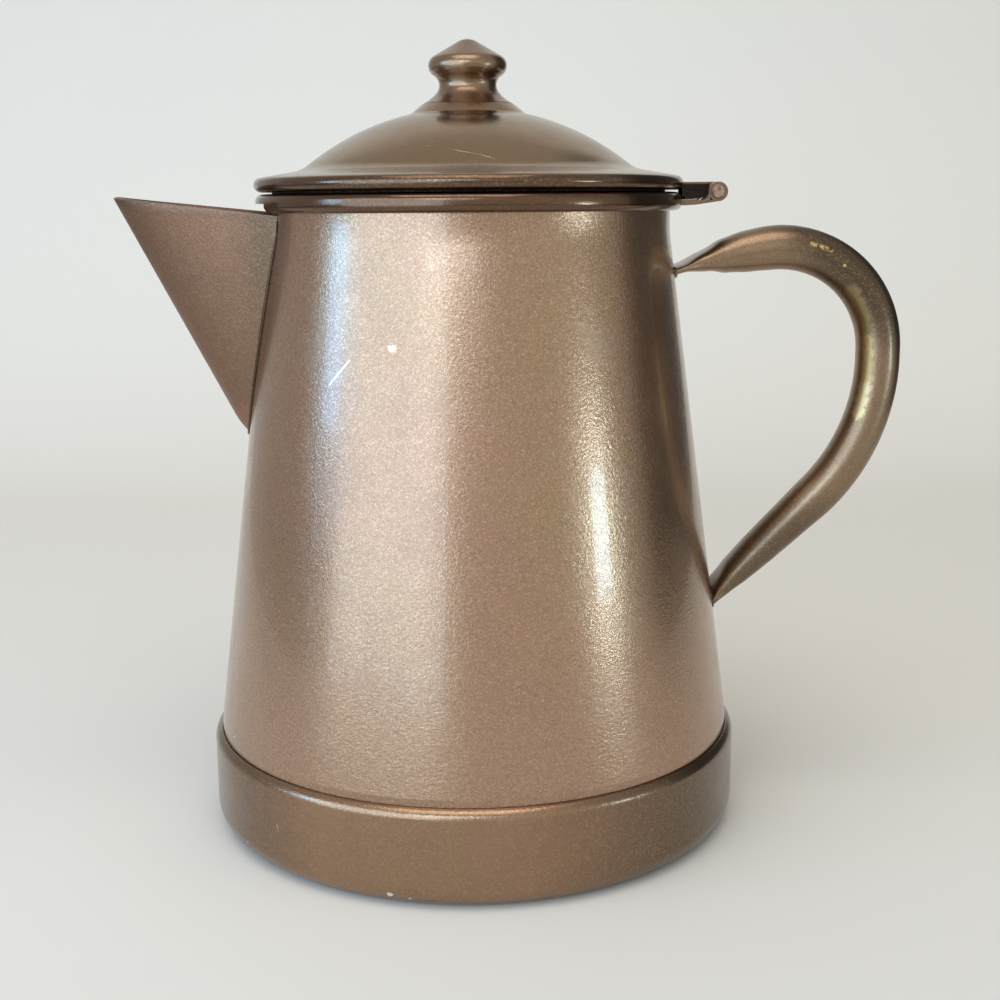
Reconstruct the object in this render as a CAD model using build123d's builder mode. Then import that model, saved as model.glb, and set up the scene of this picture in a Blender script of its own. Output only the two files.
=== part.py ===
import os

from build123d import *

os.makedirs("parts", exist_ok=True)

# A stove-top tea kettle in pressed and rolled sheet. Millimetres, +Z up.
# The origin is the centre of the flat base, on the axis of the body.
# The spout points along -X, the handle and the lid's hinge along +X.

# Base pan
pan_radius = 74.5
pan_wall = 1.2
pan_heel_radius = 7.0
pan_band_top = 24.2
pan_shoulder_radius = 3.0

# Body, a tapered wall with a straight neck and a rolled rim
body_sheet = 0.8
foot_fit = 0.1
foot_step = 2.0
foot_lift = 2.0
foot_rise = 1.0
neck_radius = 54.6
neck_height = 10.4
rim_top = 174.7
rim_roll_width = 3.9
rim_roll_height = 4.9
rim_roll_gap_angle = 65.0

# Spout, one sheet folded along a straight leaning crease
spout_sheet = 0.9
spout_mouth_half_width = 23.4
spout_mouth_depth = 44.9
spout_tip_reach = 96.5
spout_tip_drop = 0.7
spout_spare = 10.0
spout_crease_lean = 0.5155
spout_lip_slope = 0.1036
spout_seam_gap = 0.05
pour_edge = 1.2
rim_notch_gap = 0.4

# Handle, a round tube pinched flat at both ends
handle_tube_radius = 6.1
handle_wall = 1.1
handle_drop = 15.1
handle_reach = 114.1
handle_bend_radius = 28.2
handle_side_run = 2.7
handle_palm_radius = 55.0
handle_fall_angle = 46.0
pinch_half_thickness = 1.25
pinch_half_width = 9.4
upper_pinch_drop = 6.0
handle_trim = 1.5
handle_seam_gap = 0.05

# Lid, a domed pressing with a raised boss and a rolled edge
lid_sheet = 0.8
lid_roll_radius = 1.7
lid_roll_gap_angle = 65.0
lid_overhang = 0.3
lid_rise = 0.9
brim_slope = 10.0
dome_edge_inset = 11.1
dome_edge_height = 7.56
boss_top_radius = 12.4
boss_foot_radius = 15.6
boss_foot_height = 20.9
boss_step = 2.6
collar_sheet = 0.8
collar_clearance = 0.6
collar_depth = 8.2
collar_flange = 4.5
collar_seat_gap = 0.05

# Knob, turned, with a blind hole for its screw
knob_height = 16.9
knob_foot_radius = 12.0
knob_foot_edge = 0.15
knob_flare_drop = 1.9
knob_flare_reach = 2.0
knob_flare_rise = 1.1
knob_neck_radius = 7.7
knob_neck_height = 4.9
knob_head_radius = 10.55
knob_head_height = 10.0
knob_shoulder_radius = 8.8
knob_cone_slope = 30.0
knob_point_radius = 5.2
screw_radius = 2.0
screw_hole_gap = 0.05
screw_reach = 9.0
screw_hole_spare = 1.5
screw_head_radius = 4.0
screw_head_height = 2.6
screw_head_round = 0.9
screw_slot_width = 1.0
screw_slot_depth = 1.2
washer_radius = 6.5
washer_thickness = 1.0

# Hinge: a sheet bracket on the body's rim, a strap on the lid, one pin
pin_offset = 8.7
pin_radius = 1.9
pin_overhang = 0.5
pin_end_chamfer = 0.3
pin_running_gap = 0.05
pin_grip_gap = 0.02
leaf_sheet = 0.65
hinge_width = 20.0
bracket_root_drop = 3.75
bracket_root_height = 1.7
bracket_root_length = 3.2
strap_width = 9.6
strap_side_gap = 0.4
strap_flange_depth = 3.9
braze_gap = 0.05

# Heights and radii that follow from the driving sizes
shoulder_top = pan_band_top + pan_shoulder_radius
cone_bottom_radius = pan_radius - foot_step
cone_bottom = shoulder_top + foot_rise
neck_bottom = rim_top - neck_height
neck_inner_radius = neck_radius - body_sheet
roll_corner = rim_roll_width / 2
rim_radius = neck_inner_radius + rim_roll_width
rim_centre_x = neck_inner_radius + roll_corner
rim_upper_z = rim_top - roll_corner
rim_lower_z = rim_top - rim_roll_height + roll_corner
lid_radius = rim_radius + lid_overhang
lid_roll_z = rim_top + lid_rise + lid_roll_radius
lid_roll_x = lid_radius - lid_roll_radius
taper = (cone_bottom_radius - neck_radius) / (neck_bottom - cone_bottom)
boss_foot_z = rim_top + boss_foot_height
boss_top = boss_foot_z + boss_step
knob_top = boss_top + knob_height
spout_tip_height = rim_top - spout_tip_drop
handle_top_height = rim_top - handle_drop
pin_x = lid_radius + pin_offset
pin_z = rim_top
above_all = 2 * rim_top
beyond_all = 2 * pan_radius


def body_outside(height):
    """Radius of the tapered wall's outside at a height."""
    return cone_bottom_radius - taper * (height - cone_bottom)


def wall_cutter(gap):
    """A solid that fills the body out to its outside plus a gap."""
    with BuildPart() as filled:
        with BuildSketch(Plane.XZ):
            with BuildLine():
                Polyline(
                    (0, 0),
                    (body_outside(0) + gap, 0),
                    (neck_radius + gap, neck_bottom),
                    (neck_radius + gap, above_all),
                    (0, above_all),
                    close=True,
                )
            make_face()
        revolve(axis=Axis.Z)
    return filled.part


def save(piece, label):
    """Name a finished piece and write it to its own file."""
    piece.label = label
    export_step(piece, f"parts/{label}.step")


# Base pan: a flat bottom, a rounded heel, a straight band and a shoulder
# turned in over the foot of the body, trimmed where it meets the body's wall
with BuildPart() as base_pan:
    with BuildSketch(Plane.XZ):
        with BuildLine():
            floor_line = Line((0, 0), (pan_radius - pan_heel_radius, 0))
            heel = CenterArc(
                (pan_radius - pan_heel_radius, pan_heel_radius), pan_heel_radius, -90, 90
            )
            band = Line(heel @ 1, (pan_radius, pan_band_top))
            shoulder = CenterArc(
                (pan_radius - pan_shoulder_radius, pan_band_top), pan_shoulder_radius, 0, 90
            )
            shoulder_inside = CenterArc(
                (pan_radius - pan_shoulder_radius, pan_band_top),
                pan_shoulder_radius - pan_wall,
                90,
                -90,
            )
            Line(shoulder @ 1, shoulder_inside @ 0)
            band_inside = Line(shoulder_inside @ 1, (pan_radius - pan_wall, pan_heel_radius))
            heel_inside = CenterArc(
                (pan_radius - pan_heel_radius, pan_heel_radius),
                pan_heel_radius - pan_wall,
                0,
                -90,
            )
            floor_inside = Line(heel_inside @ 1, (0, pan_wall))
            Line(floor_inside @ 1, floor_line @ 0)
        make_face()
        with Locations((0, pan_band_top)):
            Rectangle(
                cone_bottom_radius + foot_fit,
                2 * pan_shoulder_radius,
                align=(Align.MIN, Align.MIN),
                mode=Mode.SUBTRACT,
            )
    revolve(axis=Axis.Z)
save(base_pan.part, "base_pan")

# Spout section: the sheet lies on a parabola, so it is tightest at the crease.
# The same section is carried up along the leaning crease.
crease_foot_z = spout_tip_height - (spout_tip_reach - pan_radius / 2) / spout_crease_lean
crease_foot_x = -pan_radius / 2
spout_lift = spout_tip_height - crease_foot_z + spout_spare
fold_reach = pan_radius
fold_half_width = spout_mouth_half_width * (fold_reach / spout_mouth_depth) ** 0.5
crease_direction = Vector(-spout_crease_lean, 0, 1)


def folded_prism(inset):
    """The space inside the folded sheet, its section drawn in by an inset."""
    crease = crease_foot_x + inset
    half_width = fold_half_width - inset
    open_side = crease_foot_x + fold_reach
    with BuildPart() as prism:
        with BuildSketch(Plane.XY.offset(crease_foot_z)):
            with BuildLine():
                fold = Bezier(
                    (open_side, half_width),
                    (2 * crease - open_side, 0),
                    (open_side, -half_width),
                )
                Line(fold @ 1, fold @ 0)
            make_face()
        extrude(amount=spout_lift * crease_direction.length, dir=crease_direction)
    return prism.part


fold_outside = folded_prism(0)
fold_inside = folded_prism(spout_sheet)
body_filled = wall_cutter(spout_seam_gap)
lip_plane = Plane(
    origin=(-spout_tip_reach, 0, spout_tip_height),
    x_dir=(1, 0, -spout_lip_slope),
    z_dir=(spout_lip_slope, 0, 1),
)
with BuildPart() as spout:
    add(fold_outside)
    add(fold_inside, mode=Mode.SUBTRACT)
    add(body_filled, mode=Mode.SUBTRACT)
    split(bisect_by=lip_plane, keep=Keep.BOTTOM)
save(spout.part, "spout")

# Body: foot held in the pan, tapered wall, neck, rolled rim. The wall is open
# behind the spout, and the roll keeps only its upper half over that opening.
foot_radius = pan_radius - pan_wall - foot_fit
roll_middle = (rim_upper_z + rim_lower_z) / 2
lip_at_wall = spout_tip_height - spout_lip_slope * (spout_tip_reach - neck_radius)
notch_height = roll_middle - lip_at_wall + rim_notch_gap
below_rim = Pos(0, 0, roll_middle - beyond_all / 2) * Box(beyond_all, beyond_all, beyond_all)
notch_slab = Pos(-beyond_all / 2, 0, roll_middle - notch_height / 2) * Box(
    beyond_all, beyond_all, notch_height
)
pour_opening = folded_prism(spout_sheet + pour_edge) & below_rim
rim_notch = folded_prism(-rim_notch_gap) & notch_slab
foot_bottom = pan_heel_radius + foot_lift
foot_top = pan_band_top - body_sheet - foot_fit
wall_outside = [
    (foot_radius, foot_bottom),
    (foot_radius, foot_top - foot_rise),
    (cone_bottom_radius, foot_top),
    (cone_bottom_radius, cone_bottom),
    (neck_radius, neck_bottom),
    (neck_radius, rim_upper_z),
]
wall_inside = [(radius - body_sheet, height) for radius, height in reversed(wall_outside)]
roll_hollow = roll_corner - body_sheet
roll_under_turn = rim_roll_gap_angle - 180
with BuildPart() as body_shell:
    with BuildSketch(Plane.XZ):
        with BuildLine():
            Polyline(*wall_outside, *wall_inside, close=True)
        make_face()
        with BuildLine():
            over = CenterArc((rim_centre_x, rim_upper_z), roll_corner, 180, -180)
            Line(over @ 1, (rim_radius, rim_lower_z))
            under = CenterArc((rim_centre_x, rim_lower_z), roll_corner, 0, roll_under_turn)
            over_inside = CenterArc((rim_centre_x, rim_upper_z), roll_hollow, 180, -180)
            Line(over_inside @ 1, (rim_radius - body_sheet, rim_lower_z))
            under_inside = CenterArc(
                (rim_centre_x, rim_lower_z), roll_hollow, 0, roll_under_turn
            )
            Line(over @ 0, over_inside @ 0)
            Line(under @ 1, under_inside @ 1)
        make_face()
    revolve(axis=Axis.Z)
    add(pour_opening, mode=Mode.SUBTRACT)
    add(rim_notch, mode=Mode.SUBTRACT)
save(body_shell.part, "body_shell")

# Handle: the stations give the distance from a pinched end, as a share of the
# pinch's length, and how far the tube is squeezed there
upper_stations = [
    (1, 0),
    (0.87, 0.015),
    (0.67, 0.09),
    (0.47, 0.29),
    (0.27, 0.62),
    (0.08, 1),
    (0, 1),
]
lower_stations = [(1, 0), (0.73, 0.12), (0.5, 0.23), (0.25, 0.41), (0.11, 0.68), (0, 1)]
tube_start_x = handle_reach - handle_bend_radius
bend_centre_z = handle_top_height - handle_bend_radius
palm_centre_x = handle_reach - handle_palm_radius
palm_centre_z = bend_centre_z - handle_side_run
with BuildLine(Plane.XZ) as handle_path:
    top_bend = CenterArc((tube_start_x, bend_centre_z), handle_bend_radius, 90, -90)
    side_run = Line(top_bend @ 1, (handle_reach, palm_centre_z))
    CenterArc((palm_centre_x, palm_centre_z), handle_palm_radius, 0, -handle_fall_angle)
fall_start = handle_path.line @ 1
fall_direction = handle_path.line % 1
upper_end_radius = body_outside(handle_top_height - upper_pinch_drop)
upper_pinch_length = tube_start_x - upper_end_radius + handle_trim
fall_reach = fall_start.X - body_outside(fall_start.Z)
fall_length = fall_reach / -(fall_direction.X + taper * fall_direction.Z) + handle_trim
across_handle = (0, 1, 0)


def pinched_section(plane, squeeze, wall):
    """One section of the tube: a circle that flattens as it is squeezed."""
    half_thickness = handle_tube_radius + (pinch_half_thickness - handle_tube_radius) * squeeze
    half_width = handle_tube_radius + (pinch_half_width - handle_tube_radius) * squeeze
    with BuildSketch(plane) as section:
        Ellipse(half_width - wall, half_thickness - wall)
    return section.sketch


def handle_form(wall):
    """The handle's form, drawn in by the tube's wall."""
    upper_sections = []
    for share, squeeze in upper_stations:
        drop = upper_pinch_drop * (1 - share) ** 1.5
        centre = (
            tube_start_x - upper_pinch_length * (1 - share),
            0,
            handle_top_height - drop,
        )
        plane = Plane(origin=centre, x_dir=across_handle, z_dir=(-1, 0, 0))
        upper_sections.append(pinched_section(plane, squeeze, wall))
    lower_sections = []
    for share, squeeze in lower_stations:
        centre = fall_start + fall_direction * fall_length * (1 - share)
        plane = Plane(origin=centre, x_dir=across_handle, z_dir=fall_direction)
        lower_sections.append(pinched_section(plane, squeeze, wall))
    with BuildPart() as form:
        with BuildSketch(Plane(origin=handle_path.line @ 0, z_dir=handle_path.line % 0)):
            Circle(handle_tube_radius - wall)
        sweep(path=handle_path.line)
        loft(sections=upper_sections)
        loft(sections=lower_sections)
    return form.part


handle_outside = handle_form(0)
handle_inside = handle_form(handle_wall)
handle_wall_cutter = wall_cutter(handle_seam_gap)
with BuildPart() as handle:
    add(handle_outside)
    add(handle_inside, mode=Mode.SUBTRACT)
    add(handle_wall_cutter, mode=Mode.SUBTRACT)
save(handle.part, "handle")

# Lid: boss, dome, blend, sloping brim and rolled edge, all one sheet. The dome
# is the sphere through the boss's foot and the dome's edge.
screw_hole_radius = screw_radius + screw_hole_gap
dome_edge_radius = neck_radius - dome_edge_inset
dome_edge_z = rim_top + dome_edge_height
dome_centre_z = (
    boss_foot_z**2 - dome_edge_z**2 + boss_foot_radius**2 - dome_edge_radius**2
) / (2 * (boss_foot_z - dome_edge_z))
dome_centre = Vector(0, dome_centre_z)
hole_edge = Vector(screw_hole_radius, boss_top)
boss_edge = Vector(boss_top_radius, boss_top)
dome_start = Vector(boss_foot_radius, boss_foot_z)
dome_end = Vector(dome_edge_radius, dome_edge_z)
dome_radius = (dome_end - dome_centre).length
out_at_start = (dome_start - dome_centre).normalized()
out_at_end = (dome_end - dome_centre).normalized()
out_midway = (out_at_start + out_at_end).normalized()
dome_crown = dome_centre + out_midway * dome_radius
roll_start_angle = 90 - brim_slope
roll_turn = lid_roll_gap_angle - 270 - roll_start_angle
roll_centre = Vector(lid_roll_x, lid_roll_z)
brim_square = Vector(1, 0).rotate(Axis.Z, roll_start_angle)
brim_direction = Vector(1, 0).rotate(Axis.Z, -brim_slope)
brim_end = roll_centre + brim_square * lid_roll_radius
blend_radius = (brim_end - dome_end).dot(brim_square) / (out_at_end.dot(brim_square) - 1)
blend_centre = dome_end + out_at_end * blend_radius
brim_start = blend_centre - brim_square * blend_radius
out_in_blend = (out_at_end + brim_square).normalized()
blend_middle = blend_centre - out_in_blend * blend_radius


def underside(point, out_before, out_after):
    """The point on the sheet's underside that faces a point on its top."""
    return point - (out_before + out_after) * (lid_sheet / (1 + out_before.dot(out_after)))


boss_out = Vector(0, 1)
boss_side_out = (boss_edge - dome_start).normalized().rotate(Axis.Z, -90)
with BuildPart() as lid_shell:
    with BuildSketch(Plane.XZ):
        with BuildLine():
            Polyline(hole_edge, boss_edge, dome_start)
            ThreePointArc(dome_start, dome_crown, dome_end)
            ThreePointArc(dome_end, blend_middle, brim_start)
            Line(brim_start, brim_end)
            hole_under = underside(hole_edge, boss_out, boss_out)
            dome_under = underside(dome_start, boss_side_out, out_at_start)
            blend_under = underside(dome_end, out_at_end, out_at_end)
            brim_under = underside(brim_start, brim_square, brim_square)
            roll_under = underside(brim_end, brim_square, brim_square)
            Polyline(hole_under, underside(boss_edge, boss_out, boss_side_out), dome_under)
            ThreePointArc(
                dome_under, underside(dome_crown, out_midway, out_midway), blend_under
            )
            ThreePointArc(
                blend_under, underside(blend_middle, out_in_blend, out_in_blend), brim_under
            )
            Line(brim_under, roll_under)
            Line(hole_edge, hole_under)
            Line(brim_end, roll_under)
        make_face()
        with BuildLine():
            roll_outside = CenterArc(roll_centre, lid_roll_radius, roll_start_angle, roll_turn)
            roll_inside = CenterArc(
                roll_centre, lid_roll_radius - lid_sheet, roll_start_angle, roll_turn
            )
            Line(roll_outside @ 0, roll_inside @ 0)
            Line(roll_outside @ 1, roll_inside @ 1)
        make_face()
    revolve(axis=Axis.Z)
save(lid_shell.part, "lid_shell")

# Lid collar: a hoop that keeps the lid in the mouth, its flange under the brim
collar_radius = neck_inner_radius - collar_clearance
seat_point = brim_end - brim_square * (lid_sheet + collar_seat_gap)


def under_brim(radius, depth):
    """A point at a radius, a depth square below the brim's seat."""
    start = seat_point - brim_square * depth
    along = (radius - start.X) / brim_direction.X
    return start + brim_direction * along


collar_bottom = rim_top - collar_depth
with BuildPart() as lid_collar:
    with BuildSketch(Plane.XZ):
        with BuildLine():
            Polyline(
                (collar_radius, collar_bottom),
                under_brim(collar_radius, 0),
                under_brim(collar_radius - collar_flange, 0),
                under_brim(collar_radius - collar_flange, collar_sheet),
                under_brim(collar_radius - collar_sheet, collar_sheet),
                (collar_radius - collar_sheet, collar_bottom),
                close=True,
            )
        make_face()
    revolve(axis=Axis.Z)
save(lid_collar.part, "lid_collar")

# Knob: flared foot, waist, rounded head and a low cone on top
neck_point = Vector(knob_neck_radius, boss_top + knob_neck_height)
head_point = Vector(knob_head_radius, boss_top + knob_head_height)
waist_point = (neck_point + head_point) * 0.5
foot_point = Vector(knob_foot_radius, boss_top + knob_foot_edge)
flare_start = neck_point - Vector(0, knob_flare_drop)
flare_end = foot_point + Vector(-knob_flare_reach, knob_flare_rise)
cone_fall = Vector(1, 0).rotate(Axis.Z, -knob_cone_slope)
point_round = Vector(0, knob_top - knob_point_radius) + Vector(knob_point_radius, 0).rotate(
    Axis.Z, 90 - knob_cone_slope
)
cone_length = (knob_shoulder_radius - point_round.X) / cone_fall.X
shoulder_point = point_round + cone_fall * cone_length
with BuildPart() as knob:
    with BuildSketch(Plane.XZ):
        with BuildLine():
            Line((0, boss_top), (knob_foot_radius, boss_top))
            Line((knob_foot_radius, boss_top), foot_point)
            Bezier(foot_point, flare_end, flare_start, neck_point)
            TangentArc(neck_point, waist_point, tangent=(0, 1))
            TangentArc(head_point, waist_point, tangent=(0, -1))
            TangentArc(head_point, shoulder_point, tangent=(0, 1))
            Line(shoulder_point, point_round)
            TangentArc((0, knob_top), point_round, tangent=(1, 0))
            Line((0, knob_top), (0, boss_top))
        make_face()
    revolve(axis=Axis.Z)
    with Locations(Plane((0, 0, boss_top), z_dir=(0, 0, -1))):
        Hole(screw_hole_radius, depth=screw_reach + screw_hole_spare)
save(knob.part, "knob")

# Knob washer and screw, under the lid's boss
washer_top = boss_top - lid_sheet
washer_bottom = washer_top - washer_thickness
with BuildPart() as knob_washer:
    with BuildSketch(Plane.XY.offset(washer_bottom)):
        Circle(washer_radius)
        Circle(screw_hole_radius, mode=Mode.SUBTRACT)
    extrude(amount=washer_thickness)
save(knob_washer.part, "knob_washer")

with BuildPart() as knob_screw:
    with BuildSketch(Plane.XY.offset(washer_bottom - screw_head_height)):
        Circle(screw_head_radius)
    extrude(amount=screw_head_height)
    fillet(knob_screw.edges().sort_by(Axis.Z)[0], radius=screw_head_round)
    with BuildSketch(Plane.XY.offset(washer_bottom)):
        Circle(screw_radius)
    extrude(amount=boss_top - washer_bottom + screw_reach)
    with BuildSketch(Plane.XY.offset(washer_bottom - screw_head_height)):
        Rectangle(2 * screw_head_radius, screw_slot_width)
    extrude(amount=screw_slot_depth, mode=Mode.SUBTRACT)
save(knob_screw.part, "knob_screw")

# Hinge pin, its axis along Y
with BuildPart() as hinge_pin:
    with BuildSketch(Plane.XZ):
        with Locations((pin_x, pin_z)):
            Circle(pin_radius)
    extrude(amount=hinge_width / 2 + pin_overhang, both=True)
    chamfer(hinge_pin.edges().filter_by(GeomType.CIRCLE), length=pin_end_chamfer)
save(hinge_pin.part, "hinge_pin")

# Hinge bracket: a strip folded round the pin, its two legs brought together at
# the body's rim, with a gap in the middle for the lid's strap
bracket_root_low = rim_top - bracket_root_drop
bracket_knuckle = pin_radius + pin_grip_gap + leaf_sheet
root_end_x = rim_radius + bracket_root_length
root_top = bracket_root_low + bracket_root_height
leg_middle = leaf_sheet / 2
with BuildPart() as rim_cutter:
    with BuildSketch():
        Circle(rim_radius + braze_gap)
    extrude(amount=above_all)
with BuildPart() as hinge_bracket:
    with BuildSketch(Plane.XZ):
        with Locations((pin_x, pin_z)):
            Circle(bracket_knuckle)
        with BuildLine():
            Polyline(
                (neck_radius, bracket_root_low),
                (root_end_x, bracket_root_low + leg_middle),
                (pin_x, pin_z - bracket_knuckle),
                (pin_x, pin_z - bracket_knuckle + leaf_sheet),
                (root_end_x, bracket_root_low + leg_middle + leaf_sheet),
                (root_end_x, root_top),
                (neck_radius, root_top),
                close=True,
            )
        make_face()
        with BuildLine():
            leg_outside = TangentArc(
                (pin_x - bracket_knuckle, pin_z), (root_end_x, root_top), tangent=(0, -1)
            )
            leg_foot = Line(leg_outside @ 1, (root_end_x, root_top - leaf_sheet))
            leg_inside = TangentArc(
                (pin_x - bracket_knuckle + leaf_sheet, pin_z),
                (root_end_x, root_top - leaf_sheet),
                tangent=(0, -1),
            )
            Line(leg_inside @ 0, leg_outside @ 0)
        make_face()
        with Locations((pin_x, pin_z)):
            Circle(pin_radius + pin_grip_gap, mode=Mode.SUBTRACT)
    extrude(amount=hinge_width / 2, both=True)
    with BuildSketch(Plane.XY.offset(pin_z - 2 * bracket_knuckle)):
        with Locations((root_end_x, 0)):
            Rectangle(
                4 * bracket_knuckle,
                strap_width + 2 * strap_side_gap,
                align=(Align.MIN, Align.CENTER),
            )
    extrude(amount=4 * bracket_knuckle, mode=Mode.SUBTRACT)
    add(rim_cutter.part, mode=Mode.SUBTRACT)
save(hinge_bracket.part, "hinge_bracket")

# Hinge strap: a channel from the lid's rolled edge, curled round the pin
strap_curl = pin_radius + pin_running_gap + leaf_sheet
strap_top = pin_z + strap_curl
with BuildPart() as lid_edge_cutter:
    with BuildSketch():
        Circle(lid_radius + braze_gap)
    extrude(amount=above_all)
flange_end = pin_x - strap_curl + leaf_sheet / 2
with BuildPart() as hinge_strap:
    with BuildSketch(Plane.XZ):
        with Locations((flange_end, strap_top)):
            Rectangle(
                flange_end - neck_radius, strap_flange_depth, align=(Align.MAX, Align.MAX)
            )
    extrude(amount=strap_width / 2, both=True)
    with BuildSketch(Plane.XZ):
        with Locations((flange_end, strap_top - leaf_sheet)):
            Rectangle(
                flange_end - neck_radius, strap_flange_depth, align=(Align.MAX, Align.MAX)
            )
    extrude(amount=strap_width / 2 - leaf_sheet, both=True, mode=Mode.SUBTRACT)
    with BuildSketch(Plane.XZ):
        with Locations((pin_x, strap_top)):
            Rectangle(pin_x - neck_radius, leaf_sheet, align=(Align.MAX, Align.MAX))
        with Locations((pin_x, pin_z)):
            Circle(strap_curl)
            Circle(pin_radius + pin_running_gap, mode=Mode.SUBTRACT)
    extrude(amount=strap_width / 2, both=True)
    add(lid_edge_cutter.part, mode=Mode.SUBTRACT)
save(hinge_strap.part, "hinge_strap")
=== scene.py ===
import math

import bmesh
import bpy
from mathutils import Matrix, Vector, noise


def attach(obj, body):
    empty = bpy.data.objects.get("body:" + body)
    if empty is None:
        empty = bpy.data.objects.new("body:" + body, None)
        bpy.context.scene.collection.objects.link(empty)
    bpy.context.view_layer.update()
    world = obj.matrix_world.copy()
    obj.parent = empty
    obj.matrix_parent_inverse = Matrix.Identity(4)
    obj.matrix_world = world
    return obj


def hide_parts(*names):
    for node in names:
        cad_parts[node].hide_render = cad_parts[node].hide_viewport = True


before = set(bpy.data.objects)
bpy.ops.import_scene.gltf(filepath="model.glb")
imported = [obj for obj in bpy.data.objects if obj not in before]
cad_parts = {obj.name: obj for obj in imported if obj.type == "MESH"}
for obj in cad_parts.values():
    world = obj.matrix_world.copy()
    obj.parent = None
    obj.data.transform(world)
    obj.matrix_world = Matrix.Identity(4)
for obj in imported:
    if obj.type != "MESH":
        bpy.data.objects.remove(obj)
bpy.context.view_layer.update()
mm = 0.001
print("kettle: frame loaded")


# ---- shapes ----

turnSteps = 224  # faces round a turned piece
sharpEdge = 38  # degrees, above which an edge is shown sharp
cornerShare = 0.48  # how much of a run its rounded corner may take
mitreLimit = 0.3  # keeps a sheet's sharp corners from running away
onAxis = 1e-4


def arcRun(cx, cz, radius, fromAngle, toAngle, steps):
    # points on an arc, angles in degrees
    points = []
    for i in range(steps + 1):
        a = math.radians(fromAngle + (toAngle - fromAngle) * i / steps)
        points.append((cx + radius * math.cos(a), cz + radius * math.sin(a)))
    return points


def arcFrom(start, way, end, steps):
    # the arc that leaves a point in one direction and passes another point
    s, w = Vector(start), Vector(way).normalized()
    chord = Vector(end) - s
    square = Vector((-w.y, w.x))
    reach = chord.length_squared / (2 * chord.dot(square))
    centre = s + square * reach
    turn = 2 * math.atan2(w.x * chord.y - w.y * chord.x, w.dot(chord))
    first = s - centre
    points = []
    for i in range(steps + 1):
        t = turn * i / steps
        points.append((centre.x + first.x * math.cos(t) - first.y * math.sin(t),
                       centre.y + first.x * math.sin(t) + first.y * math.cos(t)))
    return points


def softCorner(before, here, after, bend, steps=6):
    # a rounded corner between two straight runs
    here = Vector(here)
    a, b = Vector(before) - here, Vector(after) - here
    half = a.angle(b) / 2
    reach = min(bend / math.tan(half), cornerShare * a.length, cornerShare * b.length)
    start, end = here + a.normalized() * reach, here + b.normalized() * reach
    centre = here + (a.normalized() + b.normalized()).normalized() * (reach / math.cos(half))
    s, e = start - centre, end - centre
    turn = math.atan2(s.x * e.y - s.y * e.x, s.dot(e))
    points = []
    for i in range(steps + 1):
        t = turn * i / steps
        points.append((centre.x + s.x * math.cos(t) - s.y * math.sin(t),
                       centre.y + s.x * math.sin(t) + s.y * math.cos(t)))
    return points


def softLine(corners):
    # corners are (r, z) or (r, z, bend)
    points = []
    for i, c in enumerate(corners):
        if len(c) == 2 or i in (0, len(corners) - 1):
            points.append((c[0], c[1]))
        else:
            points += softCorner(corners[i - 1][:2], c[:2], corners[i + 1][:2], c[2])
    return points


def bendLine(a, b, c, d, steps):
    # a cubic bend from a to d, with b and c as its handles
    points = []
    for i in range(steps + 1):
        t = i / steps
        u = 1 - t
        p = (Vector(a) * u ** 3 + Vector(b) * (3 * u * u * t)
             + Vector(c) * (3 * u * t * t) + Vector(d) * t ** 3)
        points.append((p.x, p.y))
    return points


def sheetLine(line, sheet):
    # closes a line into sheet metal, the thickness on its right-hand side
    far = []
    for i, p in enumerate(line):
        p = Vector(p)
        steps = []
        if i > 0:
            steps.append((p - Vector(line[i - 1])).normalized())
        if i < len(line) - 1:
            steps.append((Vector(line[i + 1]) - p).normalized())
        normals = [Vector((s.y, -s.x)) for s in steps]
        n = sum(normals, Vector((0, 0))) / len(normals)
        far.append(tuple(p + n * (sheet / max(n.length_squared, mitreLimit))))
    return list(line) + far[::-1]


def addPiece(name, bm, material, body, replaced=(), sharpAngle=sharpEdge):
    mesh = bpy.data.meshes.new(name)
    bmesh.ops.recalc_face_normals(bm, faces=bm.faces)
    bm.to_mesh(mesh)
    bm.free()
    piece = bpy.data.objects.new(name, mesh)
    bpy.context.scene.collection.objects.link(piece)
    mesh.shade_smooth()
    mesh.set_sharp_from_angle(angle=math.radians(sharpAngle))
    mesh.materials.append(material)
    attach(piece, body)
    if replaced:
        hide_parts(*replaced)
    return piece


def turnOutline(outline, steps, closed):
    # turns an outline of (r, z) round the axis
    bm = bmesh.new()
    rings = []
    for r, z in outline:
        if r < onAxis:
            rings.append([bm.verts.new((0, 0, z * mm))])
        else:
            ring = []
            for i in range(steps):
                a = 2 * math.pi * i / steps
                ring.append(bm.verts.new((r * math.cos(a) * mm, r * math.sin(a) * mm, z * mm)))
            rings.append(ring)
    following = rings[1:] + rings[:1] if closed else rings[1:]
    for lower, upper in zip(rings, following):
        for i in range(steps):
            j = (i + 1) % steps
            corners = [lower[i % len(lower)], lower[j % len(lower)],
                       upper[j % len(upper)], upper[i % len(upper)]]
            corners = list(dict.fromkeys(corners))
            if len(corners) > 2:
                bm.faces.new(corners)
    return bm


def skinRings(rings):
    # a closed skin over rings of points, capped at both ends
    bm = bmesh.new()
    loops = [[bm.verts.new(p) for p in ring] for ring in rings]
    for a, b in zip(loops, loops[1:]):
        for i in range(len(a)):
            j = (i + 1) % len(a)
            bm.faces.new((a[i], a[j], b[j], b[i]))
    bm.faces.new(loops[0][::-1])
    bm.faces.new(loops[-1])
    return bm


def applyModifiers(piece):
    depsgraph = bpy.context.evaluated_depsgraph_get()
    finished = bpy.data.meshes.new_from_object(piece.evaluated_get(depsgraph))
    piece.modifiers.clear()
    piece.data = finished


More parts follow.
